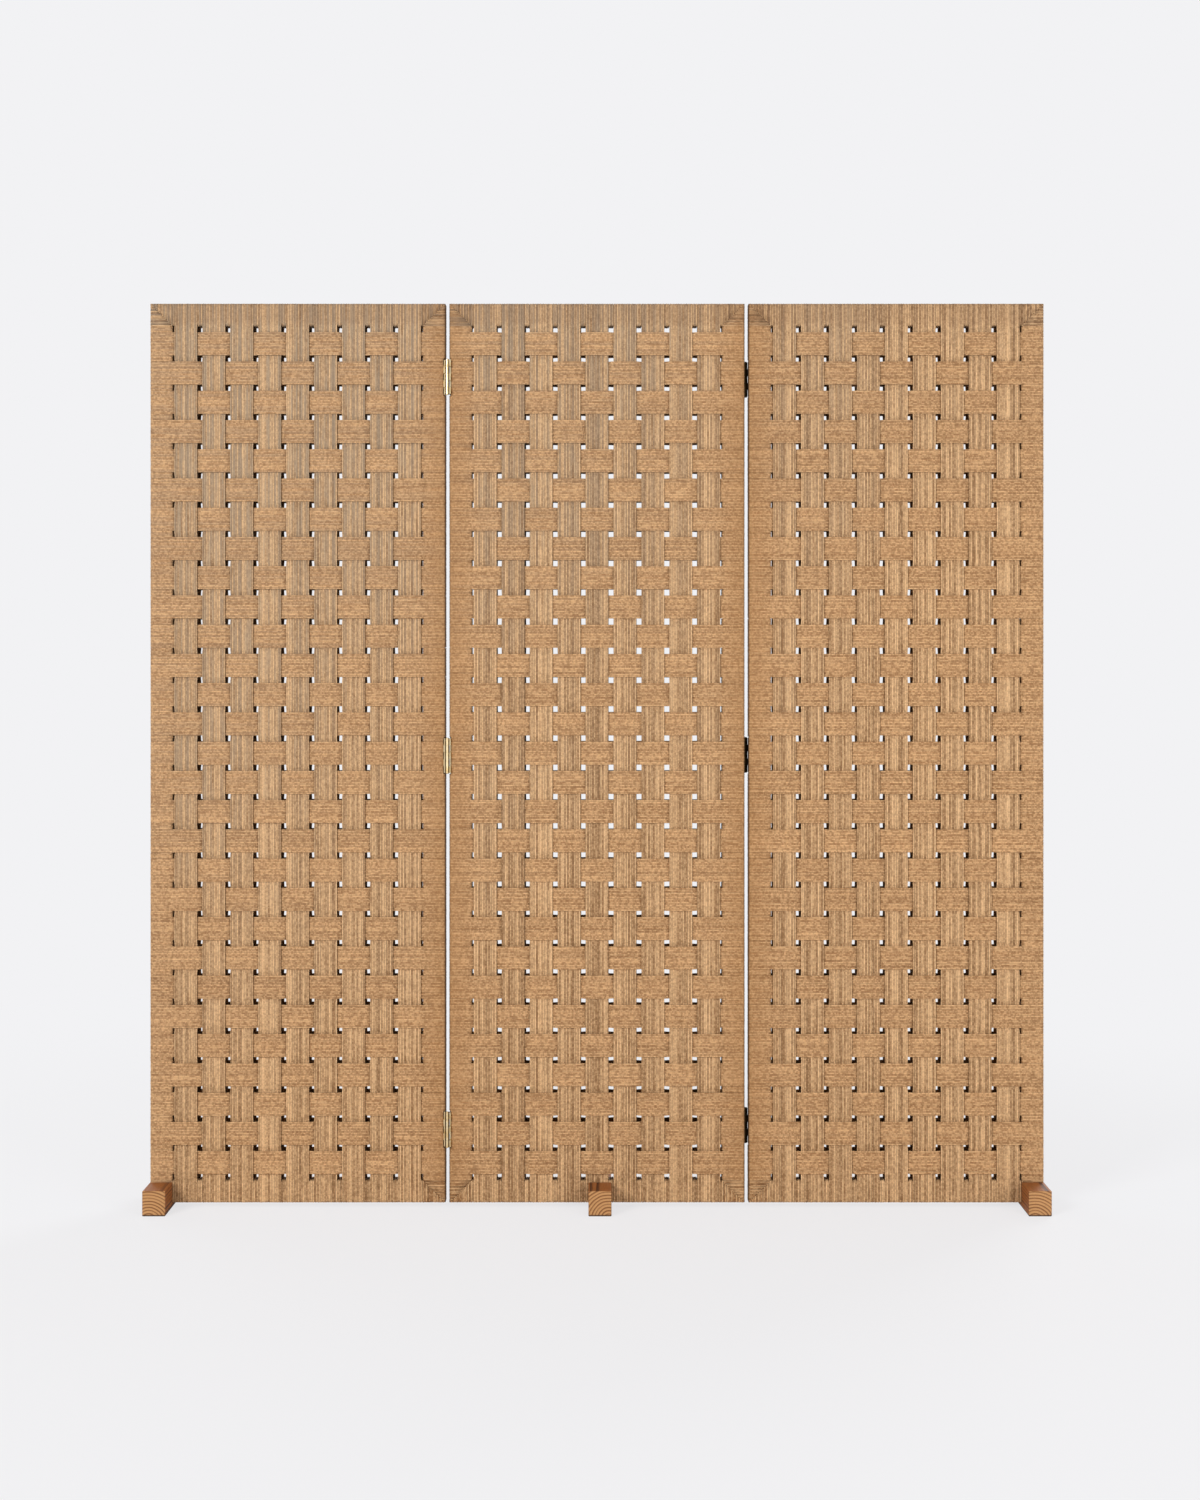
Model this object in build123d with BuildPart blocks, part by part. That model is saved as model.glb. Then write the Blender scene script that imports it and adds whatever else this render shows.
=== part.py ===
from build123d import *
import os

os.makedirs("parts", exist_ok=True)

# A three-panel folding screen. Each panel is a mortised wooden frame covered front and back by woven
# bands of paper cord, and stands on slotted wooden feet. Sizes are in millimetres, +Z is up, the front
# faces -Y, and the origin is on the floor under the centre of the flat screen.

# Panels, measured over the cord
panel_width = 600.0
panel_height = 1826.0
panel_gap = 7.3

# Wooden frames
stile_width = 40.0
rail_height = 40.0
frame_depth = 29.0
edge_radius = 3.0
tenon_length = 28.0
tenon_thickness = 9.0
tenon_height = 28.0
mortise_spare = 1.0
joint_fit = 0.1

# Paper cord and its bands
cord_diameter = 3.2
cord_seat = 0.1
cord_clearance = 0.2
warp_width = 46.5
warp_gap = 10.2
side_slit = 3.3
weft_width = 47.0
weft_gap = 12.3

# Feet
foot_width = 46.0
foot_length = 170.0
foot_web = 8.0
foot_chamfer = 1.2
rail_reveal = 4.1
slot_clearance = 0.2
middle_foot_offset = 6.0
foot_screw_length = 36.0
foot_screw_x = 10.0
foot_screw_y = 8.0

# Hinges
hinge_length = 70.0
hinge_inset = 150.0
middle_hinge_drop = 5.0
leaf_thickness = 2.4
leaf_width = 27.0
knuckle_diameter = 9.0
knuckle_count = 5
knuckle_play = 0.3
pin_diameter = 4.6
pin_play = 0.05
pin_proud = 0.5
pin_head_diameter = 6.6
pin_head_height = 1.4
shoulder_front = 3.0
shoulder_back = 5.0
leaf_notch = 5.6
notch_clearance = 0.5

# Screws
screw_diameter = 3.6
screw_head_diameter = 7.2
screw_play = 0.05
screw_recess = 0.2
hinge_screw_length = 22.0
hinge_screw_count = 3
hinge_screw_spacing = 24.0
slot_width = 0.9
slot_depth = 0.8

# What follows from those sizes
cover = cord_seat + cord_diameter
stile_cover = stile_width + 2 * cover
rail_cover = rail_height + 2 * cover
cover_depth = frame_depth + 2 * cover
layer_depth = frame_depth / 2 + cord_seat + cord_diameter / 2
lift = (cord_diameter + cord_clearance) / 2
field_depth = 2 * (layer_depth + lift) + cord_diameter
wrap_radius = edge_radius + cover
panel_pitch = panel_width + panel_gap
panel_bottom = foot_web
panel_top = panel_bottom + panel_height
panel_middle = (panel_bottom + panel_top) / 2
foot_height = foot_web + rail_cover - rail_reveal

# The bands are spread evenly: warp bands between the side slits, weft bands between the rails
open_width = panel_width - 2 * stile_cover - 2 * side_slit
warp_steps = max(1, round((open_width - warp_width) / (warp_width + warp_gap)))
warp_count = warp_steps + 1
warp_pitch = (open_width - warp_width) / warp_steps
open_height = panel_height - 2 * rail_cover
weft_count = max(1, round((open_height - weft_gap) / (weft_width + weft_gap)))
weft_space = (open_height - weft_count * weft_width) / (weft_count + 1)
weft_pitch = weft_width + weft_space
warp_places = [(i - warp_steps / 2) * warp_pitch for i in range(warp_count)]
weft_places = [((weft_count - 1) / 2 - row) * weft_pitch for row in range(weft_count)]

# The stiles' ends are eased enough to lie inside the rounded cord
end_ease = 0.8 * edge_radius

# Hinge axes stand just proud of the cord, in front at the left joint and behind at the right one
axis_depth = field_depth / 2 + pin_proud
wood_reach = panel_gap / 2 + cover
hinge_heights = [
    panel_bottom + hinge_inset,
    panel_middle - middle_hinge_drop,
    panel_top - hinge_inset,
]
knuckle_height = (hinge_length - (knuckle_count - 1) * knuckle_play) / knuckle_count
knuckle_pitch = knuckle_height + knuckle_play
plate_middle = (leaf_notch + leaf_width) / 2
screw_steps = [(i - (hinge_screw_count - 1) / 2) * hinge_screw_spacing for i in range(hinge_screw_count)]

# Each panel: name, centre along X, centre of its foot along X
panels = [
    ("left", -panel_pitch, -panel_pitch - panel_width / 2 + foot_width / 2),
    ("middle", 0.0, middle_foot_offset),
    ("right", panel_pitch, panel_pitch + panel_width / 2 - foot_width / 2),
]
# Each joint: name, axis along X, side of the axis along Y
joints = [("left", -panel_pitch / 2, -1), ("right", panel_pitch / 2, 1)]


def keep(piece, name):
    """Labels a finished piece and writes it."""
    piece.part.label = name
    export_step(piece.part, f"parts/{name}.step")


def joints_at(stile_x):
    """The hinge joints whose leaves are screwed to the stile centred at stile_x."""
    return [j for j in joints if abs(abs(stile_x - j[1]) - wood_reach - stile_width / 2) < joint_fit]


def cut_leaf_seats(*stiles):
    """Takes the hinge leaves' seats out of the cord round these stiles."""
    back = axis_depth - leaf_width - notch_clearance
    seats = []
    for stile_x in stiles:
        for name, axis_x, side in joints_at(stile_x):
            outward = 1 if axis_x > stile_x else -1
            seat_x = stile_x + outward * (stile_width / 2 + cover)
            seats += [(seat_x, side * (cover_depth + back) / 2, height) for height in hinge_heights]
    if seats:
        with Locations(*seats):
            Box(
                2 * cover,
                cover_depth - back,
                hinge_length + 2 * notch_clearance,
                mode=Mode.SUBTRACT,
            )


def stile_places(panel_x):
    """Centres of a panel's two stiles along X."""
    out = panel_width / 2 - cover - stile_width / 2
    return [panel_x - out, panel_x + out]


def rail_places():
    """Centres of a panel's bottom and top rails along Z."""
    inset = cover + rail_height / 2
    return [panel_bottom + inset, panel_top - inset]


def foot_screw_places(foot_x):
    """Where a foot's two screws stand."""
    return [(foot_x - foot_screw_x, -foot_screw_y), (foot_x + foot_screw_x, foot_screw_y)]


def cut_foot_screws(foot_x):
    """Makes room for a foot's screws in the wood or cord that is being built."""
    middle_z = foot_screw_length / 2 + screw_recess
    with Locations(*[(x, y, middle_z) for x, y in foot_screw_places(foot_x)]):
        Cylinder(
            screw_diameter / 2 + screw_play,
            foot_screw_length + 2 * screw_recess,
            mode=Mode.SUBTRACT,
        )


def stile(panel_x, stile_x, foot_x):
    """An upright with mortises for both rails and pilot holes for its hinge and foot screws."""
    inward = 1 if stile_x < panel_x else -1
    depth = tenon_length + mortise_spare
    mortise_x = stile_x + inward * (stile_width - depth) / 2
    with BuildPart() as piece:
        with BuildSketch(Plane.XY.offset(panel_bottom + cover)):
            with Locations((stile_x, 0)):
                RectangleRounded(stile_width, frame_depth, edge_radius)
        extrude(amount=panel_height - 2 * cover)
        ends = piece.edges().filter_by(Axis.X).group_by(Axis.Z)
        chamfer(ends[0] + ends[-1], end_ease)
        with Locations(*[(mortise_x, 0, z) for z in rail_places()]):
            Box(
                depth,
                tenon_thickness + 2 * joint_fit,
                tenon_height + 2 * joint_fit,
                mode=Mode.SUBTRACT,
            )
        for name, axis_x, side in joints_at(stile_x):
            outward = 1 if axis_x > stile_x else -1
            face_x = stile_x + outward * stile_width / 2
            hole_y = side * (axis_depth - plate_middle)
            with Locations(*[(face_x, hole_y, z + step) for z in hinge_heights for step in screw_steps]):
                Cylinder(
                    screw_diameter / 2 + screw_play,
                    2 * (hinge_screw_length - leaf_thickness + screw_play),
                    rotation=(0, 90, 0),
                    mode=Mode.SUBTRACT,
                )
        cut_foot_screws(foot_x)
    return piece


def rail(panel_x, rail_z, foot_x):
    """A rail with a tenon at each end."""
    length = panel_width - 2 * cover - 2 * stile_width
    with BuildPart() as piece:
        with BuildSketch(Plane.YZ.offset(panel_x)):
            with Locations((0, rail_z)):
                RectangleRounded(frame_depth, rail_height, edge_radius)
        extrude(amount=length / 2, both=True)
        with Locations((panel_x, 0, rail_z)):
            Box(length + 2 * tenon_length, tenon_thickness, tenon_height)
        cut_foot_screws(foot_x)
    return piece


def band_outline(end, level_end, field_end, rise, inside):
    """Corners of a band's loop: level over the frame, then a ramp to its own depth in the field."""
    face = cover_depth / 2 - inside
    tip = end - inside
    half = [(level_end, face), (field_end, face + rise)]
    front = [(-tip, face)] + [(-along, out) for along, out in half] + half[::-1] + [(tip, face)]
    return front + [(along, -out) for along, out in reversed(front)]


def band_section(end, level_end, field_end, rise):
    """The section of a band along its whole loop, with its four end corners rounded."""
    with BuildSketch() as section:
        for inside, mode in ((0, Mode.ADD), (cord_diameter, Mode.SUBTRACT)):
            with BuildSketch(mode=mode) as loop:
                with BuildLine():
                    Polyline(*band_outline(end, level_end, field_end, rise, inside), close=True)
                make_face()
                ends = loop.vertices().group_by(Axis.X)
                fillet(ends[0] + ends[-1], wrap_radius - inside)
    return section.sketch


def warp_bands():
    """Upright bands of cord, each looped over both rails, on the inside where they cross the weft."""
    level_end = panel_height / 2 - rail_cover
    section = band_section(panel_height / 2, level_end, level_end - weft_space, -lift)
    planes = [Plane((x, 0, panel_middle), x_dir=(0, 0, 1), z_dir=(1, 0, 0)) for x in warp_places]
    with BuildPart() as piece:
        with BuildSketch(*planes):
            add(section)
        extrude(amount=warp_width / 2, both=True)
    return piece.part


def weft_bands():
    """Level bands of cord, each looped round both stiles, on the outside where they cross the warp."""
    level_end = panel_width / 2 - cover - stile_width
    section = band_section(panel_width / 2, level_end, open_width / 2, lift)
    planes = [Plane((0, 0, panel_middle + z)) for z in weft_places]
    with BuildPart() as piece:
        with BuildSketch(*planes):
            add(section)
        extrude(amount=weft_width / 2, both=True)
    return piece.part


def wrap_section(breadth):
    """The section of a winding round a stile or rail."""
    with BuildSketch() as section:
        RectangleRounded(breadth, cover_depth, wrap_radius)
        RectangleRounded(
            breadth - 2 * cord_diameter,
            cover_depth - 2 * cord_diameter,
            wrap_radius - cord_diameter,
            mode=Mode.SUBTRACT,
        )
    return section.sketch


def stile_wraps():
    """Short windings that cover a stile between the weft bands."""
    section = wrap_section(stile_cover)
    start = panel_bottom + rail_cover + cord_clearance / 2
    with BuildPart() as piece:
        with BuildSketch(*[Plane.XY.offset(start + n * weft_pitch) for n in range(weft_count + 1)]):
            add(section)
        extrude(amount=weft_space - cord_clearance)
    return piece.part


def rail_wraps():
    """Short windings that cover both rails between the warp bands and beside the corners."""
    section = wrap_section(rail_cover)
    slit_middle = (open_width + side_slit) / 2
    between = [x + warp_pitch / 2 for x in warp_places[:-1]]
    with BuildPart() as piece:
        for places, space in (
            ([-slit_middle, slit_middle], side_slit),
            (between, warp_pitch - warp_width),
        ):
            planes = [
                Plane((x, 0, z), x_dir=(0, 0, 1), z_dir=(1, 0, 0)) for x in places for z in rail_places()
            ]
            with BuildSketch(*planes):
                add(section)
            extrude(amount=(space - cord_clearance) / 2, both=True)
    return piece.part


def corner_half(plane, across, along, cut, keep_side):
    """A U of cord round one side of a corner, open along its plane's X and cut off at the mitre."""
    with BuildPart() as half:
        with BuildSketch(plane):
            RectangleRounded(across, cover_depth, wrap_radius)
            with Locations((across / 4, 0)):
                Rectangle(across / 2, cover_depth)
            with Locations((cord_diameter, 0)):
                RectangleRounded(
                    across, cover_depth - 2 * cord_diameter, wrap_radius - cord_diameter, mode=Mode.SUBTRACT
                )
            with Locations((across / 2, 0)):
                Rectangle(across, cover_depth - 2 * cord_diameter, mode=Mode.SUBTRACT)
        extrude(amount=along / 2, both=True)
        split(bisect_by=cut, keep=keep_side)
    return half.part


def corner_wraps():
    """The windings at the four corners, where stile and rail strands meet in a mitre."""
    middle = Vector((stile_cover - panel_width) / 2, 0, panel_bottom + rail_cover / 2)
    slope = Vector(-rail_cover, 0, stile_cover).normalized()
    air = slope * cord_clearance / 2
    stile_side = corner_half(
        Plane(middle, x_dir=(1, 0, 0), z_dir=(0, 0, 1)),
        stile_cover,
        rail_cover,
        Plane(middle + air, z_dir=slope),
        Keep.TOP,
    )
    rail_side = corner_half(
        Plane(middle, x_dir=(0, 0, 1), z_dir=(1, 0, 0)),
        rail_cover,
        stile_cover,
        Plane(middle - air, z_dir=slope),
        Keep.BOTTOM,
    )
    with BuildPart() as piece:
        add([stile_side, rail_side])
        mirror(about=Plane.YZ)
        mirror(about=Plane.XY.offset(panel_middle))
    return piece.part


def foot(foot_x):
    """A bar that runs fore and aft, slotted to straddle the bottom of a panel."""
    slot = cover_depth + 2 * slot_clearance
    with BuildPart() as piece:
        with Locations((foot_x, 0, foot_height / 2)):
            Box(foot_width, foot_length, foot_height)
        chamfer(piece.edges(), foot_chamfer)
        with Locations((foot_x, 0, foot_web + foot_height / 2)):
            Box(foot_width, slot, foot_height, mode=Mode.SUBTRACT)
        for x, y in foot_screw_places(foot_x):
            with Locations(Location((x, y, 0), (180, 0, 0))):
                CounterSinkHole(
                    screw_diameter / 2 + screw_play,
                    screw_head_diameter / 2 + screw_play + screw_recess,
                    foot_height,
                )
    return piece


def screw(length):
    """A countersunk wood screw, head up with its top at the origin."""
    head_height = (screw_head_diameter - screw_diameter) / 2
    tip = screw_diameter
    with BuildPart() as piece:
        with BuildSketch(Plane.XZ):
            with BuildLine():
                Polyline(
                    (0, 0),
                    (screw_head_diameter / 2, 0),
                    (screw_diameter / 2, -head_height),
                    (screw_diameter / 2, tip - length),
                    (0, -length),
                    close=True,
                )
            make_face()
        revolve(axis=Axis.Z)
        Box(screw_head_diameter, slot_width, 2 * slot_depth, mode=Mode.SUBTRACT)
    return piece.part


def hinge_leaf(axis_x, side, height, toward, own):
    """A leaf: its plate lies on the stile's edge, its shoulders carry every second knuckle."""
    axis_y = side * axis_depth
    plate_x = axis_x + toward * (wood_reach - leaf_thickness / 2)
    knuckles = range(own, knuckle_count, 2)
    with BuildPart() as piece:
        with Locations((plate_x, axis_y - side * plate_middle, height)):
            Box(leaf_thickness, leaf_width - leaf_notch, hinge_length)
        for k in knuckles:
            low = height - hinge_length / 2 + k * knuckle_pitch
            with BuildSketch(Plane.XY.offset(low)):
                with Locations((axis_x, axis_y)):
                    Circle(knuckle_diameter / 2)
                shoulder = shoulder_front + shoulder_back
                shoulder_y = axis_y - side * (shoulder_back - shoulder_front) / 2
                with Locations((axis_x + toward * wood_reach / 2, shoulder_y)):
                    Rectangle(wood_reach, shoulder)
                web_y = axis_y - side * (leaf_notch + leaf_thickness) / 2
                with Locations((plate_x, web_y)):
                    Rectangle(leaf_thickness, leaf_notch + leaf_thickness)
            extrude(amount=knuckle_height)
        with Locations((axis_x, axis_y, height)):
            Cylinder(pin_diameter / 2 + pin_play, 2 * hinge_length, mode=Mode.SUBTRACT)
        for step in screw_steps:
            face_x = axis_x + toward * (wood_reach - leaf_thickness)
            seat = Location((face_x, axis_y - side * plate_middle, height + step), (0, -90 * toward, 0))
            with Locations(seat):
                CounterSinkHole(
                    screw_diameter / 2 + screw_play,
                    screw_head_diameter / 2 + screw_play + screw_recess,
                    2 * leaf_thickness,
                )
    return piece


def hinge_pin(axis_x, side, height):
    """A pin with a low head at each end."""
    half = hinge_length / 2 + pin_play
    with BuildPart() as piece:
        with BuildSketch(Plane((axis_x, side * axis_depth, height - half))):
            Circle(pin_diameter / 2)
        extrude(amount=2 * half)
        for end in (-1, 1):
            with Locations((axis_x, side * axis_depth, height + end * (half + pin_head_height / 2))):
                Cylinder(pin_head_diameter / 2, pin_head_height)
        tips = piece.faces().sort_by(Axis.Z)
        chamfer([tips[0].edge(), tips[-1].edge()], pin_head_height / 2)
    return piece


def hinge_screws(axis_x, side, toward):
    """The screws that hold one side of a joint's hinges."""
    face_x = axis_x + toward * (wood_reach - leaf_thickness + screw_recess)
    one = screw(hinge_screw_length)
    seats = [
        Location((face_x, side * (axis_depth - plate_middle), height + step), (0, -90 * toward, 0))
        for height in hinge_heights
        for step in screw_steps
    ]
    with BuildPart() as piece:
        with Locations(*seats):
            add(one)
    return piece


def foot_screws(foot_x):
    """The two screws that go up through a foot's web into the frame."""
    one = screw(foot_screw_length)
    with BuildPart() as piece:
        for x, y in foot_screw_places(foot_x):
            with Locations(Location((x, y, screw_recess), (180, 0, 0))):
                add(one)
    return piece


def placed(cord, x, foot_x=None, stiles=()):
    """Cord set at its place along X, with room for the foot's screws and the hinges' leaves."""
    with BuildPart() as piece:
        with Locations((x, 0, 0)):
            add(cord)
        if foot_x is not None:
            cut_foot_screws(foot_x)
        cut_leaf_seats(*stiles)
    return piece


# The cord of one panel, round X = 0
warp = warp_bands()
weft = weft_bands()
round_stile = stile_wraps()
round_rails = rail_wraps()
round_corners = corner_wraps()

# Panels, their cord and their feet
for name, panel_x, foot_x in panels:
    left_x, right_x = stile_places(panel_x)
    bottom_z, top_z = rail_places()
    keep(stile(panel_x, left_x, foot_x), f"{name}_panel_left_stile")
    keep(stile(panel_x, right_x, foot_x), f"{name}_panel_right_stile")
    keep(rail(panel_x, bottom_z, foot_x), f"{name}_panel_bottom_rail")
    keep(rail(panel_x, top_z, foot_x), f"{name}_panel_top_rail")
    keep(placed(warp, panel_x, foot_x), f"{name}_panel_warp_bands")
    keep(placed(weft, panel_x, stiles=(left_x, right_x)), f"{name}_panel_weft_bands")
    keep(placed(round_stile, left_x, stiles=(left_x,)), f"{name}_panel_left_stile_wraps")
    keep(placed(round_stile, right_x, stiles=(right_x,)), f"{name}_panel_right_stile_wraps")
    keep(placed(round_rails, panel_x), f"{name}_panel_rail_wraps")
    keep(placed(round_corners, panel_x, foot_x), f"{name}_panel_corner_wraps")
    keep(foot(foot_x), f"{name}_foot")
    keep(foot_screws(foot_x), f"{name}_foot_screws")

# Hinges: the middle panel's leaves carry the outer knuckles and the pins
for name, axis_x, side in joints:
    outer = -1 if axis_x < 0 else 1
    for place, height in zip(("bottom", "centre", "top"), hinge_heights):
        keep(hinge_leaf(axis_x, side, height, outer, 1), f"{name}_hinge_{place}_outer_leaf")
        keep(hinge_leaf(axis_x, side, height, -outer, 0), f"{name}_hinge_{place}_inner_leaf")
        keep(hinge_pin(axis_x, side, height), f"{name}_hinge_{place}_pin")
    keep(hinge_screws(axis_x, side, outer), f"{name}_hinge_outer_screws")
    keep(hinge_screws(axis_x, side, -outer), f"{name}_hinge_inner_screws")
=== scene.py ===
import math

import bpy
import numpy as np
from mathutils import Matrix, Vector


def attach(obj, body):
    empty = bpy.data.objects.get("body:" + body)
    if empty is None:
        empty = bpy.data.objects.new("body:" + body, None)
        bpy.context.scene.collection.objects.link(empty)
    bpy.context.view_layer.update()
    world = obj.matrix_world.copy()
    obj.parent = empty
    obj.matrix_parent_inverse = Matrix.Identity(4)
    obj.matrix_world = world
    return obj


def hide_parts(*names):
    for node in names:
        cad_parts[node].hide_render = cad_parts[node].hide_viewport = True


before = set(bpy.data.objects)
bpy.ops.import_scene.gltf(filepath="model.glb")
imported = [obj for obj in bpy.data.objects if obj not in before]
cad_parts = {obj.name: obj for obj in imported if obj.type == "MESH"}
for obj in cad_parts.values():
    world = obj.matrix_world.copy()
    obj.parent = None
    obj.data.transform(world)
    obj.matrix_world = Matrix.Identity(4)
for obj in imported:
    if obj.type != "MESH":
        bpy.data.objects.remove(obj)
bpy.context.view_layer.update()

# ---- Stiles and rails ----
# The wooden frame of each panel: two uprights and two rails, taken as teak joined by mortise and tenon.
# The cord covers them from end to end, so bare wood only shows deep inside the hinges' seats.


def colour(red, green, blue):
    """A colour as a screen shows it, 0 to 255, turned into the shader's light values."""
    linear = [
        c / 255 / 12.92 if c <= 10 else ((c / 255 + 0.055) / 1.055) ** 2.4 for c in (red, green, blue)
    ]
    return (*linear, 1.0)


class Link:
    """A node's output. Sums written with it add the Math nodes that work them out."""

    def __init__(self, finish, socket):
        self.finish = finish
        self.socket = socket

    def sum(self, operation, first, second=0.0):
        return self.finish.node("Math", {"operation": operation}, {0: first, 1: second})

    def __add__(self, other):
        return self.sum("ADD", self, other)

    def __radd__(self, other):
        return self.sum("ADD", other, self)

    def __sub__(self, other):
        return self.sum("SUBTRACT", self, other)

    def __rsub__(self, other):
        return self.sum("SUBTRACT", other, self)

    def __mul__(self, other):
        return self.sum("MULTIPLY", self, other)

    def __rmul__(self, other):
        return self.sum("MULTIPLY", other, self)

    def __truediv__(self, other):
        return self.sum("DIVIDE", self, other)

    def __pow__(self, other):
        return self.sum("POWER", self, other)

    def __mod__(self, other):
        return self.sum("FLOORED_MODULO", self, other)

    def __abs__(self):
        return self.sum("ABSOLUTE", self)


class Finish:
    """A node tree and the one way in which nodes are put into it."""

    def __init__(self, tree):
        self.tree = tree

    def node(self, kind, settings=None, sockets=None, out=0):
        made = self.tree.nodes.new("ShaderNode" + kind)
        for name, value in (settings or {}).items():
            setattr(made, name, value)
        for name, value in (sockets or {}).items():
            if isinstance(value, Link):
                self.tree.links.new(value.socket, made.inputs[name])
            else:
                made.inputs[name].default_value = value
        return Link(self, made.outputs[out])

    def mix(self, amount, first, second, way="MIX"):
        return self.node(
            "Mix", {"data_type": "RGBA", "blend_type": way}, {0: amount, 6: first, 7: second}, out=2
        )

    def vector(self, x, y, z):
        return self.node("CombineXYZ", None, {0: x, 1: y, 2: z})

    def parts(self, vector):
        split = self.node("SeparateXYZ", None, {0: vector}).socket.node
        return [Link(self, socket) for socket in split.outputs]

    def noise(self, vector, scale, detail=2.0, roughness=0.5):
        return self.node(
            "TexNoise", None, {"Vector": vector, "Scale": scale, "Detail": detail, "Roughness": roughness}
        )

    def ramp(self, amount, low, high):
        return self.node("MapRange", {"interpolation_type": "SMOOTHSTEP"}, {0: amount, 1: low, 2: high})


def make_finish(name, **constants):
    """A new material: its Finish, and a call that links values or sets numbers on its shader."""
    material = bpy.data.materials.new(name)
    material.use_nodes = True
    finish = Finish(material.node_tree)
    shader = material.node_tree.nodes["Principled BSDF"]
    for socket, value in constants.items():
        shader.inputs[socket.replace("_", " ")].default_value = value

    def feed(socket, value):
        material.node_tree.links.new(value.socket, shader.inputs[socket])

    return material, finish, feed


def teak(name, pith, along, light, dark, ring, ends=None):
    """Oiled teak: growth rings about a pith line that runs along one axis, with pores and fine fibre. ends
    gives how far out the sawn ends lie, and their paler shades."""
    material, wood, feed = make_finish(name, Specular_IOR_Level=0.35)
    place = wood.node("TexCoord", out=3)
    xyz = wood.parts(place)
    first, second = [axis for axis in range(3) if axis != along]
    across = xyz[first] - pith[0]
    up = xyz[second] - pith[1]
    length = xyz[along]
    bend = wood.noise(wood.vector(across * 22, up * 22, length * 3), 1.0, 2.0) - 0.5
    radius = (across * across + up * up) ** 0.5 + bend * 0.005
    years = radius / ring
    year = years % 1.0
    which = wood.node("Math", {"operation": "FLOOR"}, {0: years})
    strong = wood.node("TexWhiteNoise", None, {"Vector": wood.vector(which, pith[0], 0.0)})
    late = (wood.ramp(year, 0.35, 0.9) - wood.ramp(year, 0.92, 1.0)) * (0.45 + strong * 0.7)
    broad = wood.noise(wood.vector(radius * 120, length * 2, 0.0), 1.0, 2.0)
    fibre = wood.noise(wood.vector(across * 900, up * 900, length * 18), 1.0, 3.0, 0.6)
    pores = wood.ramp(wood.noise(wood.vector(across * 1500, up * 1500, length * 40), 1.0, 1.0), 0.6, 0.68)
    depth = wood.ramp(late * 0.75 + broad * 0.4 + (fibre - 0.5) * 0.8, 0.1, 0.95)
    base = wood.mix(depth, light, dark)
    if ends:
        reach, end_light, end_dark = ends
        sawn = wood.ramp(abs(length), reach - 0.0012, reach - 0.0006)
        sharp = wood.ramp(late * 1.15 + broad * 0.25 + (fibre - 0.5) * 0.5, 0.1, 0.85)
        base = wood.mix(sawn, base, wood.mix(sharp, end_light, end_dark))
        # Painted shade: with ends given, the lowest 2.4 to 4 mm of the piece are mixed towards a near-black
        # brown, standing in for the shadow along the bottom edge.
        underside_shade = 1 - wood.ramp(xyz[2], 0.0024, 0.0040)
        base = wood.mix(underside_shade * 0.85, base, colour(48, 32, 20))
    feed("Base Color", wood.mix(pores * 0.4, base, tuple(0.35 * c for c in dark[:3]) + (1.0,)))
    feed("Roughness", 0.42 + fibre * 0.2)
    grain = fibre * 0.6 - pores - late * 0.3
    feed("Normal", wood.node("Bump", None, {"Strength": 0.35, "Distance": 0.0004, "Height": grain}))
    return material


def dress(node, material):
    """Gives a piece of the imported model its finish."""
    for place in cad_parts[node].material_slots:
        place.material = material


panels = {"left": -0.6073, "middle": 0.0, "right": 0.6073}
joint_out = 0.30365
upright_teak = teak("stile_teak", (0.03, -0.05), 2, colour(176, 122, 78), colour(120, 74, 42), 0.0032)
level_teak = teak("rail_teak", (-0.04, 0.05), 0, colour(176, 122, 78), colour(120, 74, 42), 0.0032)
for name in panels:
    dress(f"{name}_panel_left_stile", upright_teak)
    dress(f"{name}_panel_right_stile", upright_teak)
    dress(f"{name}_panel_bottom_rail", level_teak)
    dress(f"{name}_panel_top_rail", level_teak)

# ---- Upright bands ----
# Nine flat bands to a panel, each of fourteen paper cords laid side by side and looped over both rails.
# The cord is taken as undyed twisted paper. Sizes here are in millimetres.
panel_foot, panel_head = 8.0, 1834.0
panel_middle = (panel_foot + panel_head) / 2
half_height = (panel_head - panel_foot) / 2
frame_cover = 46.6
cord = 3.2
crest_height, groove_height, under_depth = 1.52, 0.35, 1.35
face = 16.2
bend = 4.7
leaf_end = 7.5
lift = 1.7
play = 0.2
warp_width = 46.5
warp_strands = 14
warp_pitch = 56.7125
weft_width = 47.0
weft_strands = 15
weft_pitch = 59.3269
weft_space = weft_pitch - weft_width
warp_places = [(i - 4) * warp_pitch for i in range(9)]
weft_places = [(14 - row) * weft_pitch for row in range(29)]
# Which bands pass in front: the level one where row and column add up to this, odd or even
level_in_front = {"left": 1, "middle": 0, "right": 1}
# How far the upright bands stand to one side at the rear, which is a guess
rear_lean = {"left": 1.2, "middle": 0.9, "right": -0.4}
chance = np.random.default_rng(7)


def woven_leg(places, half, level_end, loop_end, ups):
    """One face of a loop: level over the frame, then over (+1) or under (-1) each band that it crosses."""
    along, rise = [-loop_end, -level_end], [0.0, 0.0]
    for place, up in zip(places, ups):
        along += [place - half, place, place + half]
        rise += [up, 1.15 * up, up]
    along += [level_end, loop_end]
    rise += [0.0, 0.0]
    line = [(along[0], rise[0])]
    for k in range(1, len(along)):
        if abs(rise[k] - rise[k - 1]) > 0.5:
            for u in (0.25, 0.5, 0.75):
                eased = (1 - math.cos(math.pi * u)) / 2
                line.append(
                    (
                        along[k - 1] + u * (along[k] - along[k - 1]),
                        rise[k - 1] + eased * (rise[k] - rise[k - 1]),
                    )
                )
        line.append((along[k], rise[k]))
    return [(a, face + lift * up) for a, up in line]


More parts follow.
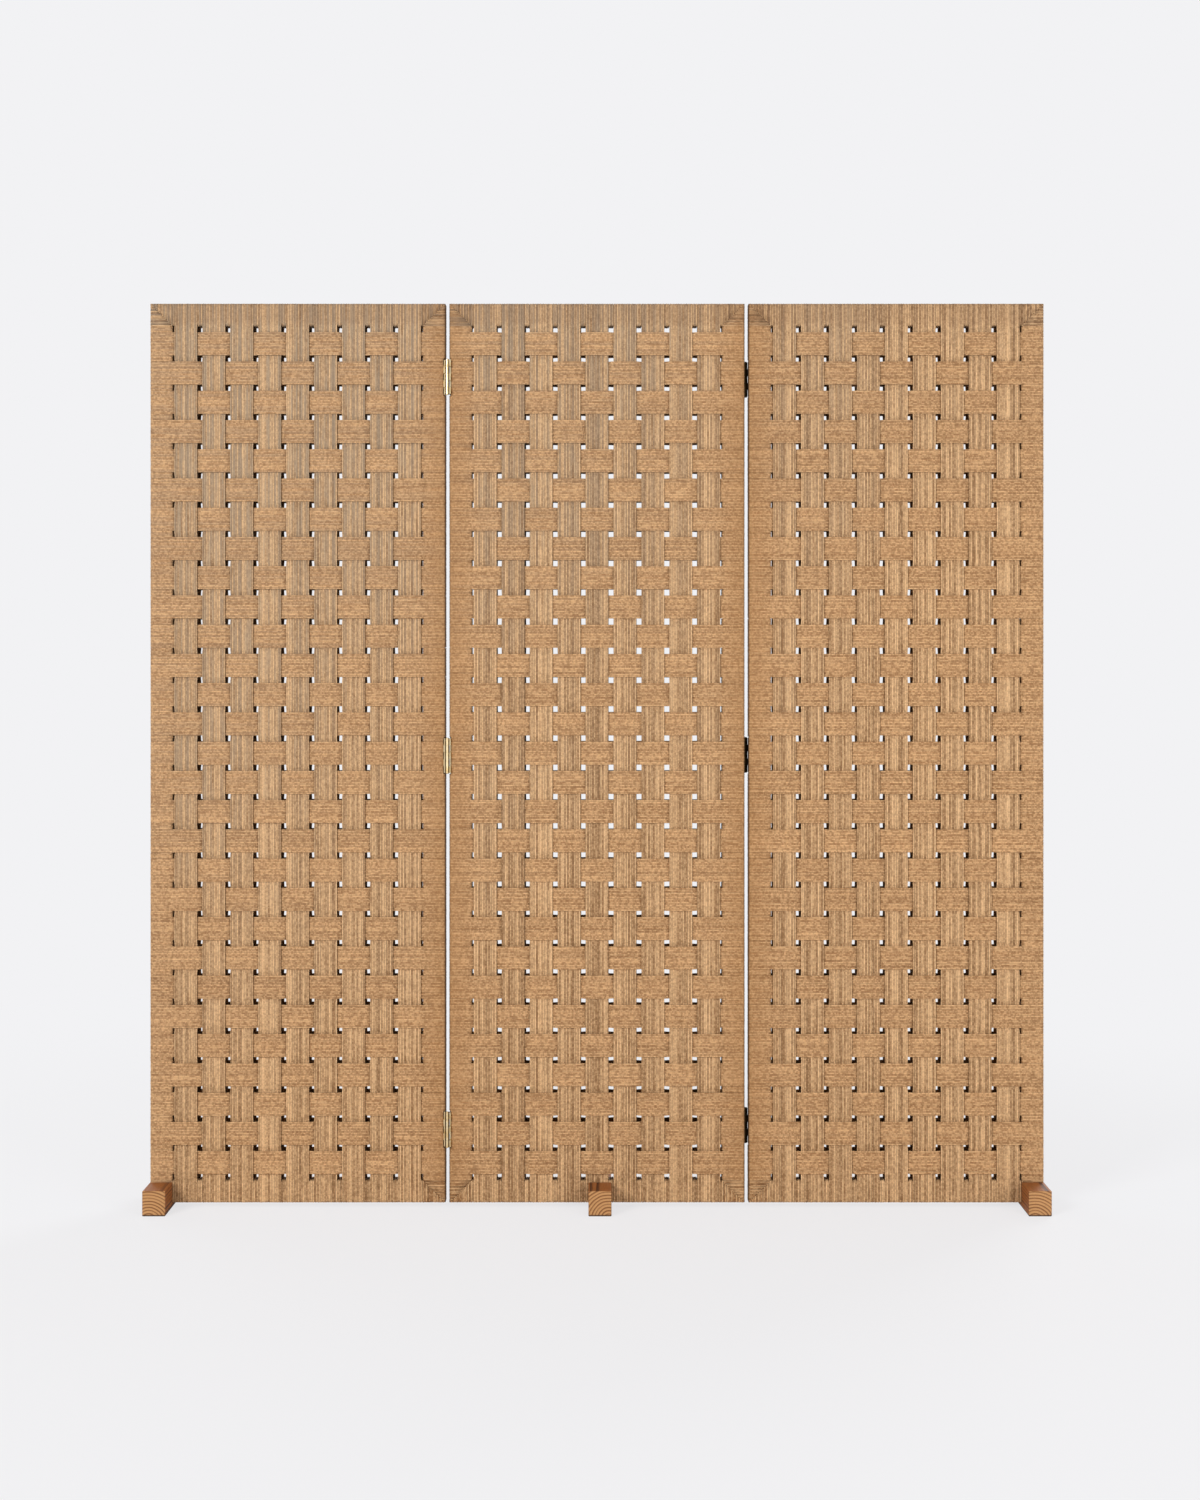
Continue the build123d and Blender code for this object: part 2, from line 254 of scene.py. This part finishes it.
def loop_of(leg, cuts=()):
    """The middle line of a cord's loop, the same leg in front and at the rear, as runs of points (along,
    depth). A cut leaves out the part of an end where a hinge leaf lies, and opens the loop there."""
    turns = [math.radians(a) for a in (28, 59, 90)]
    end = leg[-1][0]
    start = leg[0][0]
    depth = face - bend
    right = [(end + bend * math.sin(a), -depth - bend * math.cos(a)) for a in turns]
    right.append((end + bend, -leaf_end))
    left = [(start - bend * math.sin(a), -depth - bend * math.cos(a)) for a in turns]
    left.append((start - bend, -leaf_end))
    points = [(a, -d) for a, d in leg] + right + [(a, -y) for a, y in reversed(right)]
    turn = len(points)
    points += [(a, d) for a, d in reversed(leg)] + [(a, -y) for a, y in left] + left[::-1]
    count = len(points)
    dropped = {
        ("right", "front"): (turn - 7, turn - 6, turn - 5),
        ("right", "rear"): (turn - 4, turn - 3, turn - 2),
        ("left", "rear"): (count - 7, count - 6, count - 5),
        ("left", "front"): (count - 4, count - 3, count - 2),
    }
    gone = {k for cut in cuts for k in dropped[cut]}
    if not gone:
        return [(np.array(points), True)]
    first = max(gone) + 1
    order = [(first + k) % count for k in range(count)]
    runs, run = [], []
    for k in order:
        if k in gone:
            if len(run) > 1:
                runs.append((np.array([points[j] for j in run]), False))
            run = []
        else:
            run.append(k)
    if len(run) > 1:
        runs.append((np.array([points[j] for j in run]), False))
    return runs


class Cords:
    """Collects bands of cord, and makes them into one mesh with the lay of each cord kept on it."""

    def __init__(self):
        self.vertices, self.quads, self.lay, self.strip, self.grooves = [], [], [], [], []
        self.count = 0

    def band(self, line, closed, number, low, strands, pitch, place):
        """Cords side by side that follow a line. place turns (along, depth, across) into (x, y, z)."""
        steps = [0.0, 0.27, 0.73]
        across = np.array([j + s for j in range(strands) for s in steps] + [strands], float)
        columns = len(across)
        groove = across % 1.0 < 1e-6
        crest = np.repeat(chance.normal(0, 0.10, strands), 3)
        crest = np.append(crest, 0.0).clip(-0.25, 0.2)
        height = np.where(groove, groove_height, crest_height + crest)
        height[0] = height[-1] = 0.0
        sway = np.where(groove, np.repeat(chance.normal(0, 0.07, strands + 1), 3)[: columns], 0.0)
        sway[0] = sway[-1] = 0.0
        width = low + across * pitch + sway
        if closed:
            under = np.array([strands - 0.15, 0.15])
        else:
            under = np.append(across[-1] - 0.15, np.append(across[1:-1][::-1], 0.15))
        ring_across = np.concatenate([across, under])
        ring_width = np.concatenate([width, low + under * pitch])
        ring_height = np.concatenate([height, np.full(len(under), -under_depth)])
        ring_groove = np.concatenate([groove, np.zeros(len(under), bool)])
        if callable(line):
            line = line(ring_width)
        else:
            line = np.repeat(line[:, None, :], len(ring_across), axis=1)
        rows = len(line)
        step = np.roll(line, -1, axis=0) - line
        if not closed:
            step[-1] = step[-2]
        reach = np.linalg.norm(step, axis=2)
        step /= np.maximum(reach, 1e-6)[..., None]
        before = np.roll(step, 1, axis=0)
        if not closed:
            before[0] = step[0]
        tangent = step + before
        tangent /= np.linalg.norm(tangent, axis=2)[..., None]
        normal = np.stack([tangent[..., 1], -tangent[..., 0]], axis=2)
        spot = line + normal * ring_height[None, :, None]
        x, y, z = place(spot[..., 0], spot[..., 1], np.broadcast_to(ring_width, spot.shape[:2]))
        self.vertices.append(np.stack([x, y, z], axis=2).reshape(-1, 3) * 0.001)
        around = len(ring_across)
        k = np.arange(rows if closed else rows - 1)[:, None]
        m = np.arange(around)[None, :]
        k2, m2 = (k + 1) % rows, (m + 1) % around
        corner_rows = [k, k + 1, k + 1, k]
        corner_columns = [m, m, m + 1, m + 1]
        corners = (k * around + m, k2 * around + m, k2 * around + m2, k * around + m2)
        quads = np.stack(np.broadcast_arrays(*corners), axis=2)
        walked = np.concatenate([[0], np.cumsum(reach.mean(axis=1))])
        lay_across = np.append(ring_across, ring_across[0])
        flat = np.abs(np.diff(np.append(ring_width, ring_width[0])))
        flat[columns - 1 :] *= 0.2
        flat_across = np.concatenate([[0], np.cumsum(flat + 0.1)])
        rows_of = np.stack(np.broadcast_arrays(*corner_rows, m)[:4], axis=2)
        columns_of = np.stack(np.broadcast_arrays(*corner_columns, k)[:4], axis=2)
        lay = np.stack(
            [walked[rows_of] * 0.001, lay_across[columns_of], np.full(rows_of.shape, float(number))], axis=3
        )
        strip = np.stack([walked[rows_of], flat_across[columns_of]], axis=3)
        self.quads.append(self.count + quads.reshape(-1, 4))
        self.lay.append(lay.reshape(-1, 4, 3))
        row_of = np.broadcast_to(k, quads.shape[:2]).reshape(-1)
        self.strip.append((strip.reshape(-1, 4, 2), row_of, walked, flat_across[-1]))
        self.grooves.append(np.tile(np.where(ring_groove, np.arange(around), -1), rows))
        if not closed:
            top = np.arange(columns - 1)
            bottom = around - 1 - top
            for row, order in ((0, 1), (rows - 1, -1)):
                cap = np.stack([top, top + 1, bottom - 1, bottom], axis=1)[:, ::order]
                self.quads.append(self.count + row * around + cap)
                cap_lay = np.zeros((len(cap), 4, 3))
                cap_lay[..., 0] = walked[row] * 0.001
                cap_lay[..., 1] = ring_across[cap]
                cap_lay[..., 2] = number
                self.lay.append(cap_lay)
                low_side = 1.2 * (cap > columns - 1)
                cap_across = flat_across[np.minimum(cap, around - 1 - cap)]
                cap_strip = np.stack([walked[row] - 3.0 * order + low_side, cap_across], axis=2)
                cap_row = np.full(len(cap), min(row, rows - 2))
                self.strip.append((cap_strip, cap_row, walked, flat_across[-1]))
        self.count += rows * around

    def piece(self, name, material, body, slot, *nodes):
        """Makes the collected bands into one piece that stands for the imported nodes."""
        vertices = np.concatenate(self.vertices)
        quads = np.concatenate(self.quads)
        mesh = bpy.data.meshes.new(name)
        mesh.vertices.add(len(vertices))
        mesh.vertices.foreach_set("co", vertices.astype(np.float32).ravel())
        mesh.loops.add(quads.size)
        mesh.loops.foreach_set("vertex_index", quads.astype(np.int32).ravel())
        mesh.polygons.add(len(quads))
        mesh.polygons.foreach_set("loop_start", np.arange(0, quads.size, 4, dtype=np.int32))
        mesh.update(calc_edges=True)
        lay = mesh.attributes.new("lay", "FLOAT_VECTOR", "CORNER")
        lay.data.foreach_set("vector", np.concatenate(self.lay).astype(np.float32).ravel())
        side = math.sqrt(sum(walked[-1] * (tall + 4) for _, _, walked, tall in self.strip)) * 1.05
        spots, u, v, tall_row = [], 0.0, 0.0, 0.0
        for strip, row_of, walked, tall in self.strip:
            placed = strip.copy()
            start = 0
            for row in range(1, len(walked)):
                if row == len(walked) - 1 or walked[row + 1] - walked[start] > side:
                    length = walked[row] - walked[start] + 8
                    if u and u + length > side + 8:
                        u, v, tall_row = 0.0, v + tall_row, 0.0
                    chosen = (row_of >= start) & (row_of < row)
                    placed[chosen] += [u + 4 - walked[start], v + 2]
                    u += length
                    tall_row = max(tall_row, tall + 4)
                    start = row
            spots.append(placed)
        spots = np.concatenate(spots).reshape(-1, 2)
        spots /= max(spots.max(), 1.0) * 1.002
        mesh.uv_layers.new(name="OFBake").data.foreach_set("uv", spots.astype(np.float32).ravel())
        mesh.polygons.foreach_set("use_smooth", np.ones(len(quads), bool))
        ends = np.zeros(len(mesh.edges) * 2, np.int32)
        mesh.edges.foreach_get("vertices", ends)
        grooves = np.concatenate(self.grooves)[ends.reshape(-1, 2)]
        sharp = mesh.attributes.new("sharp_edge", "BOOLEAN", "EDGE")
        sharp.data.foreach_set("value", (grooves[:, 0] >= 0) & (grooves[:, 0] == grooves[:, 1]))
        mesh.materials.append(material)
        made = bpy.data.objects.new(name, mesh)
        bpy.context.scene.collection.objects.link(made)
        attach(made, body)
        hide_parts(*nodes)


def paper_cord(name, pale, deep, streak_and_sheen, dash, groove):
    """Twisted paper cord: each cord its own tone, fibres on a slant, with painted shade in the grooves
    between.
    It has a painted grey sheen towards the upper left and painted shade on the faces inside the joints'
    gaps, and is browner near the joints and along the top edge."""
    material, cordage, feed = make_finish(name, Specular_IOR_Level=0.3)
    lay = cordage.node("Attribute", {"attribute_name": "lay"}, out=1)
    along, across, band = cordage.parts(lay)
    strand = cordage.node("Math", {"operation": "FLOOR"}, {0: across})
    inside = across - strand
    own = cordage.node("TexWhiteNoise", None, {"Vector": cordage.vector(strand, band, 0.5)})
    slow = cordage.noise(cordage.vector(along * 11, strand * 3.7, band * 5.3), 1.0, 3.0, 0.6)
    fine = cordage.noise(cordage.vector(along * 190, across * 4.5 + along * 160, band * 2.1), 1.0, 3.0, 0.6)
    short = cordage.noise(cordage.vector(along * 180, strand * 5.1, band * 3.3), 1.0, 2.0, 0.6)
    place = cordage.node("TexCoord", out=3)
    x, _, z = cordage.parts(place)
    wide = cordage.noise(place, 2.6, 2.0)
    tone = 0.5 + streak_and_sheen * ((own - 0.5) + (slow - 0.5) * 1.2) + (fine - 0.5) * 0.9
    tone = tone + dash * (cordage.ramp(short, 0.36, 0.64) - 0.5)
    base = cordage.mix(tone, deep, pale)
    # Painted sheen: towards the upper left, where the key lamp falls, the cord is mixed towards a grey that
    # stands in for its sheen.
    light = cordage.ramp(z * 0.9 - x * 0.7 + (wide - 0.5) * 1.2, 0.5, 2.1)
    painted_sheen = light * (0.25 + 0.7 * cordage.ramp(slow - own * 0.3, 0.2, 0.5)) * streak_and_sheen
    base = cordage.mix(painted_sheen, base, colour(158, 142, 122))
    from_joint = abs(abs(x) - joint_out)
    # Cord within about 75 mm of a joint line is mixed 40 per cent towards a browner tone.
    near_joint = 1 - cordage.ramp(from_joint, 0.0, 0.075)
    base = cordage.mix(near_joint * 0.4, base, colour(168, 120, 70))
    # Painted shade: within about 4 to 6 mm of a joint line, on the faces inside the gap, the cord is
    # darkened to stand in for the shade there.
    gap_side_shade = 1 - cordage.ramp(from_joint, 0.0042, 0.0062)
    base = cordage.mix(gap_side_shade * 0.7, base, colour(84, 56, 32))
    lifted = cordage.ramp(z, 1.784, 1.80)
    base = cordage.mix(lifted * 0.2, base, colour(132, 92, 56))
    between = cordage.node("Math", {"operation": "ROUND"}, {0: across})
    parted = cordage.node("TexWhiteNoise", None, {"Vector": cordage.vector(between, band, 9.1)})
    edge = abs(inside - 0.5) * 2.0
    shade = 1 - (edge ** 3.0) * groove * (0.35 + parted * 0.9)
    base = cordage.mix(1.0, base, cordage.vector(shade, shade, shade), "MULTIPLY")
    feed("Base Color", base)
    feed("Roughness", 0.6 + fine * 0.25)
    twist = abs((along * 260 + inside * 0.8) % 1.0 - 0.5)
    rough = fine * 0.7 + twist * 0.5
    feed("Normal", cordage.node("Bump", None, {"Strength": 0.4, "Distance": 0.00035, "Height": rough}))
    return material


warp_cord = paper_cord("upright_cord", colour(232, 190, 142), colour(146, 108, 70), 0.75, 0.4, 0.6)
warp_loop_end = half_height - cord / 2 - bend
warp_level_end = half_height - frame_cover
for name, centre in panels.items():
    odd = level_in_front[name]
    lean = rear_lean[name]
    cords = Cords()
    for column, across in enumerate(warp_places):
        ups = [-1 if (row + column) % 2 == odd else 1 for row in reversed(range(29))]
        leg = woven_leg(weft_places[::-1], weft_width / 2, warp_level_end, warp_loop_end, ups)
        x = centre * 1000 + across
        tilt = lean + chance.normal(0, 0.8)

        def upright(a, y, w, x=x, tilt=tilt):
            return x - w + tilt * (0.5 + y / 2 / face), y, panel_middle + a

        for line, closed in loop_of(leg):
            cords.band(
                line,
                closed,
                column + 11 * odd + centre * 40,
                -warp_width / 2,
                warp_strands,
                warp_width / warp_strands,
                upright,
            )
        if column % 3 == 2:
            part = "abc"[column // 3]
            node = f"{name}_panel_warp_bands"
            cords.piece(f"{name}_upright_bands_{part}", warp_cord, f"{name}_panel", "warp_cord", node)
            cords = Cords()

# ---- Rail windings ----
# Between the upright bands the same cord is wound round the rails, three turns in each space and one turn
# in the slit at each side, so that no wood shows.
gap_turns = 3
gap_width = warp_pitch - warp_width - play
slit_width = 3.3
slit_middle = warp_places[-1] + warp_width / 2 + slit_width / 2
for name, centre in panels.items():
    cords = Cords()
    spaces = [(place + warp_pitch / 2, gap_width, gap_turns) for place in warp_places[:-1]]
    spaces += [(way * slit_middle, slit_width - play, 1) for way in (-1, 1)]
    for number, (across, width, turns) in enumerate(spaces):
        for end, middle in enumerate((panel_foot + frame_cover / 2, panel_head - frame_cover / 2)):
            reach = frame_cover / 2 - cord / 2 - bend
            leg = [(-reach, face), (reach, face)]
            x = centre * 1000 + across
            for line, closed in loop_of(leg):
                cords.band(
                    line,
                    closed,
                    number + 40 + 20 * end + centre * 40,
                    -width / 2,
                    turns,
                    width / turns,
                    lambda a, y, w, x=x, middle=middle: (x - w, y, middle + a),
                )
    node = f"{name}_panel_rail_wraps"
    cords.piece(f"{name}_rail_windings", warp_cord, f"{name}_panel", "warp_cord", node)

# ---- Level bands ----
# Twenty-nine bands to a panel, each of fifteen cords, woven through the upright ones and carried round
# both stiles. Where a hinge leaf is screwed to a stile the cords stop short of it and are glued down.
weft_cord = paper_cord("level_cord", colour(224, 180, 131), colour(152, 110, 70), 0.32, 0.6, 0.5)
half_width = 300.0
hinge_heights = (158.0, 916.0, 1684.0)
hinge_reach = 36.8
# At the left joint the leaves lie in front, at the right joint at the rear
hinged = {
    "left": [("right", "front")],
    "middle": [("left", "front"), ("right", "rear")],
    "right": [("left", "rear")],
}
weft_loop_end = half_width - cord / 2 - bend
weft_level_end = half_width - frame_cover + 5.0


def spans(height, low, strands, pitch):
    """Splits a band's cords into runs that do or don't meet a hinge leaf: (first, count, meets)."""
    middles = [height + low + (j + 0.5) * pitch for j in range(strands)]
    meets = [any(abs(z - h) < hinge_reach for h in hinge_heights) for z in middles]
    found, start = [], 0
    for j in range(1, strands + 1):
        if j == strands or meets[j] != meets[start]:
            found.append((start, j - start, meets[start]))
            start = j
    return found


for name, centre in panels.items():
    odd = level_in_front[name]
    cords = Cords()
    pitch = weft_width / weft_strands
    for row, up_by in enumerate(weft_places):
        ups = [1 if (row + column) % 2 == odd else -1 for column in range(9)]
        leg = woven_leg(warp_places, warp_width / 2, weft_level_end, weft_loop_end, ups)
        z = panel_middle + up_by
        sag = chance.normal(0, 0.7)

        def level(a, y, w, x=centre * 1000, z=z, sag=sag):
            return x + a, y, z + w + sag * (0.5 + y / 2 / face)

        for first, count, meets in spans(z, -weft_width / 2, weft_strands, pitch):
            for line, closed in loop_of(leg, hinged[name] if meets else ()):
                cords.band(
                    line,
                    closed,
                    row + 0.37 * first + 80 + centre * 60,
                    -weft_width / 2 + first * pitch,
                    count,
                    pitch,
                    level,
                )
        if row in (7, 14, 21, 28):
            part = "abcd"[(row - 7) // 7]
            node = f"{name}_panel_weft_bands"
            cords.piece(f"{name}_level_bands_{part}", weft_cord, f"{name}_panel", "weft_cord", node)
            cords = Cords()

# ---- Stile windings ----
# Four turns of the same cord fill each space between the level bands on every stile, so that no wood
# shows. Where a hinge leaf lies they stop short of it, as the bands do.
stile_middle = half_width - frame_cover / 2
space_turns = 4
space_pitch = (weft_space - play) / space_turns
for name, centre in panels.items():
    for side, way in (("left", -1), ("right", 1)):
        cords = Cords()
        cuts = [cut for cut in hinged[name] if cut[0] == side]
        reach = frame_cover / 2 - cord / 2 - bend
        leg = [(-reach, face), (reach, face)]
        x = centre * 1000 + way * stile_middle
        for number in range(30):
            z = panel_foot + frame_cover + number * weft_pitch + weft_space / 2
            low = -(weft_space - play) / 2
            for first, count, meets in spans(z, low, space_turns, space_pitch):
                for line, closed in loop_of(leg, cuts if meets else ()):
                    cords.band(
                        line,
                        closed,
                        number + 0.37 * first + 130 * way + centre * 60,
                        low + first * space_pitch,
                        count,
                        space_pitch,
                        lambda a, y, w, x=x, z=z: (x + a, y, z + w),
                    )
        node = f"{name}_panel_{side}_stile_wraps"
        cords.piece(f"{name}_{side}_stile_windings", weft_cord, f"{name}_panel", "weft_cord", node)

# ---- Corners ----
# At each corner the stile's level cords and the rail's upright cords stop against each other along a
# mitre from the outer corner to the inner one.
corner_turns = 15


def mitred(width):
    """Lines of cords that start and end on the mitre, each as far in as it stands from the corner."""
    inset = width + frame_cover / 2
    free = np.maximum(inset - cord / 2 - bend, 0.0)
    swing = np.arcsin(np.clip((cord / 2 + bend - inset) / bend, 0.0, 1.0))
    quarter = bend * (math.pi / 2 - swing)
    total = free + quarter + 1e-3
    rows = []
    for k, fixed in enumerate((0.0, 2.5, 5.0, 7.4, 1e6)):
        back = np.minimum(fixed, total * k / 4)
        angle = math.pi / 2 - np.minimum(back, quarter) / bend
        over = np.maximum(back - quarter, 0.0)
        rows.append(
            np.stack(
                [
                    bend - bend * np.sin(angle) + over + cord / 2 - frame_cover / 2,
                    -(face - bend) - bend * np.cos(angle),
                ],
                axis=-1,
            )
        )
    front = np.array(rows)
    rear = front[::-1] * [1, -1]
    return np.concatenate([rear, front])


corner_cord = paper_cord("corner_cord", colour(238, 194, 144), colour(140, 98, 60), 0.8, 0.5, 1.0)
for name, centre in panels.items():
    cords = Cords()
    pitch = frame_cover / corner_turns
    number = 300 + centre * 60
    for side in (-1, 1):
        for end in (-1, 1):
            x = centre * 1000 + side * stile_middle
            z = panel_middle + end * (half_height - frame_cover / 2)

            def level(a, y, w, x=x, z=z, side=side, end=end):
                return x - side * a, y, z - end * w

            def upright(a, y, w, x=x, z=z, side=side, end=end):
                return x - side * w, y, z - end * a

            number += 1
            cords.band(mitred, False, number, -frame_cover / 2, corner_turns, pitch, level)
            number += 1
            cords.band(mitred, False, number, -frame_cover / 2, corner_turns, pitch, upright)
    node = f"{name}_panel_corner_wraps"
    cords.piece(f"{name}_corner_windings", corner_cord, f"{name}_panel", "weft_cord", node)

# ---- Feet ----
# Short teak bars that run fore and aft and straddle the panel's lower edge in a slot. Two screws go up
# through each into the frame. Their ends show the growth rings.
foot_half_length = 0.085
for name, pith in (("left", (-0.894, -0.012)), ("middle", (0.024, -0.006)), ("right", (0.874, -0.012))):
    foot_teak = teak(
        f"{name}_foot_teak",
        pith,
        1,
        colour(156, 94, 44),
        colour(72, 36, 14),
        0.0062,
        (foot_half_length, colour(194, 144, 92), colour(132, 86, 46)),
    )
    dress(f"{name}_foot", foot_teak)

# ---- Hinges and screws ----
# Three solid brass butt hinges to a joint, with five knuckles on a headed pin, and countersunk slotted
# brass screws. The left joint's brass is bright. The right joint's brass and screws get a near-black
# painted shade that stands in for the shadow deep in that joint's gap.


def worn_brass(name, bright, dull_shade, crease_shade):
    """Brass with dull patches and fine specks, with painted shade on the knuckles' sides and in the crease
    beside them.
    """
    material, metal, feed = make_finish(name, Metallic=1.0)
    spot = metal.node("TexCoord", out=3)
    dull = metal.noise(spot, 60.0, 3.0)
    specks = metal.noise(spot, 900.0, 2.0)
    off_axis = abs(abs(metal.parts(spot)[0]) - joint_out)
    # Painted shade: along each joint line the knuckles' sides and the leaf faces beside them are mixed
    # towards the darkest colour, standing in for shade and dark reflections.
    crease = metal.ramp(off_axis, 0.0010, 0.0024) - metal.ramp(off_axis, 0.0046, 0.0054)
    polished = metal.mix(metal.ramp(dull, 0.35, 0.75), bright, dull_shade)
    feed("Base Color", metal.mix(crease * 0.9, polished, crease_shade))
    feed("Roughness", 0.2 + dull * 0.16 + specks * 0.06 + crease * 0.25)
    feed("Normal", metal.node("Bump", None, {"Strength": 0.15, "Distance": 0.0001, "Height": specks}))
    return material


brass = worn_brass("hinge_brass", colour(250, 232, 190), colour(232, 200, 140), colour(70, 42, 14))
# Painted shade: a near-black copy of the brass for the right joint, whose hinges sit in deep shade.
shaded_brass = worn_brass("hinge_brass_shaded", colour(58, 44, 26), colour(40, 28, 16), colour(20, 14, 8))
for joint, finish in (("left", brass), ("right", shaded_brass)):
    for place in ("bottom", "centre", "top"):
        dress(f"{joint}_hinge_{place}_outer_leaf", finish)
        dress(f"{joint}_hinge_{place}_inner_leaf", finish)
        dress(f"{joint}_hinge_{place}_pin", finish)
    dress(f"{joint}_hinge_outer_screws", finish)
    dress(f"{joint}_hinge_inner_screws", finish)
for name in panels:
    dress(f"{name}_foot_screws", brass)

# ---- Floor and background ----
# A plain pale floor that runs into an equally pale background. Near the object a part of what is seen of
# the floor is lit paint, which keeps the object's soft shadow.
pale = colour(242, 242, 244)
floor_mesh = bpy.data.meshes.new("floor")
ring = [(40 * math.cos(a), 40 * math.sin(a), 0.0) for a in np.linspace(0, 2 * math.pi, 65)[:-1]]
floor_mesh.from_pydata(ring, [], [list(range(64))])
floor = bpy.data.objects.new("floor", floor_mesh)
bpy.context.scene.collection.objects.link(floor)
floor_paint = bpy.data.materials.new("floor_paint")
floor_paint.use_nodes = True
ground = Finish(floor_paint.node_tree)
ground.tree.nodes.remove(ground.tree.nodes["Principled BSDF"])
xyz = ground.parts(ground.node("TexCoord", out=3))
distance = (xyz[0] * xyz[0] + xyz[1] * xyz[1]) ** 0.5
far = ground.ramp(distance, 1.0, 3.0) * 0.22 + 0.78
lit = ground.node("BsdfDiffuse", None, {"Color": colour(248, 248, 250)})
glow = ground.node("Emission", None, {"Color": pale, "Strength": 1.0})
seen = ground.node("MixShader", None, {0: far, 1: lit, 2: glow})
light_path = ground.node("LightPath").socket.node.outputs
straight = Link(ground, light_path["Is Camera Ray"])
surface = ground.node("MixShader", None, {0: straight, 1: lit, 2: seen})
ground.tree.links.new(surface.socket, ground.tree.nodes["Material Output"].inputs["Surface"])
floor_mesh.materials.append(floor_paint)

sky = bpy.data.worlds.new("studio")
bpy.context.scene.world = sky
sky.use_nodes = True
air = Finish(sky.node_tree)
light_path = air.node("LightPath").socket.node.outputs
shown = (
    Link(air, light_path["Is Camera Ray"])
    + Link(air, light_path["Is Glossy Ray"])
    + Link(air, light_path["Is Transmission Ray"])
)
ambient = air.node("Background", None, {"Color": (1.0, 1.0, 1.0, 1.0), "Strength": 0.34})
backdrop = air.node("Background", None, {"Color": pale, "Strength": 1.0})
mixed = air.node("MixShader", None, {0: shown, 1: ambient, 2: backdrop})
air.tree.links.new(mixed.socket, air.tree.nodes["World Output"].inputs["Surface"])

# ---- Lamps and camera ----
# A large soft lamp high on the left, a weaker one on the right, and two behind for the other side. The
# camera stands level in front, with its picture shifted to where the object is.


def lamp(name, place, aim, size, power):
    made = bpy.data.objects.new(name, bpy.data.lights.new(name, "AREA"))
    made.data.shape = "SQUARE"
    made.data.size = size
    made.data.energy = power
    made.location = place
    made.rotation_euler = (Vector(aim) - Vector(place)).to_track_quat("-Z", "Y").to_euler()
    bpy.context.scene.collection.objects.link(made)


lamp("key", (-3.6, -4.6, 3.2), (0.1, 0.0, 0.85), 2.2, 225.0)
lamp("fill", (3.4, -3.8, 1.4), (0.2, 0.0, 0.8), 2.6, 90.0)
lamp("rear_key", (2.8, 3.8, 3.2), (0.0, 0.0, 0.9), 2.4, 120.0)
lamp("rear_fill", (-3.4, 3.6, 1.8), (0.0, 0.0, 0.9), 2.6, 55.0)

camera = bpy.data.objects.new("camera", bpy.data.cameras.new("camera"))
camera.data.lens = 47.325
camera.data.sensor_width = 36.0
camera.data.shift_x = 0.002
camera.data.shift_y = -0.0567
camera.location = (0.0, -4.0175, 1.10)
camera.rotation_euler = (math.radians(90), 0.0, 0.0)
bpy.context.scene.collection.objects.link(camera)
bpy.context.scene.camera = camera
bpy.context.scene.view_settings.view_transform = "Standard"
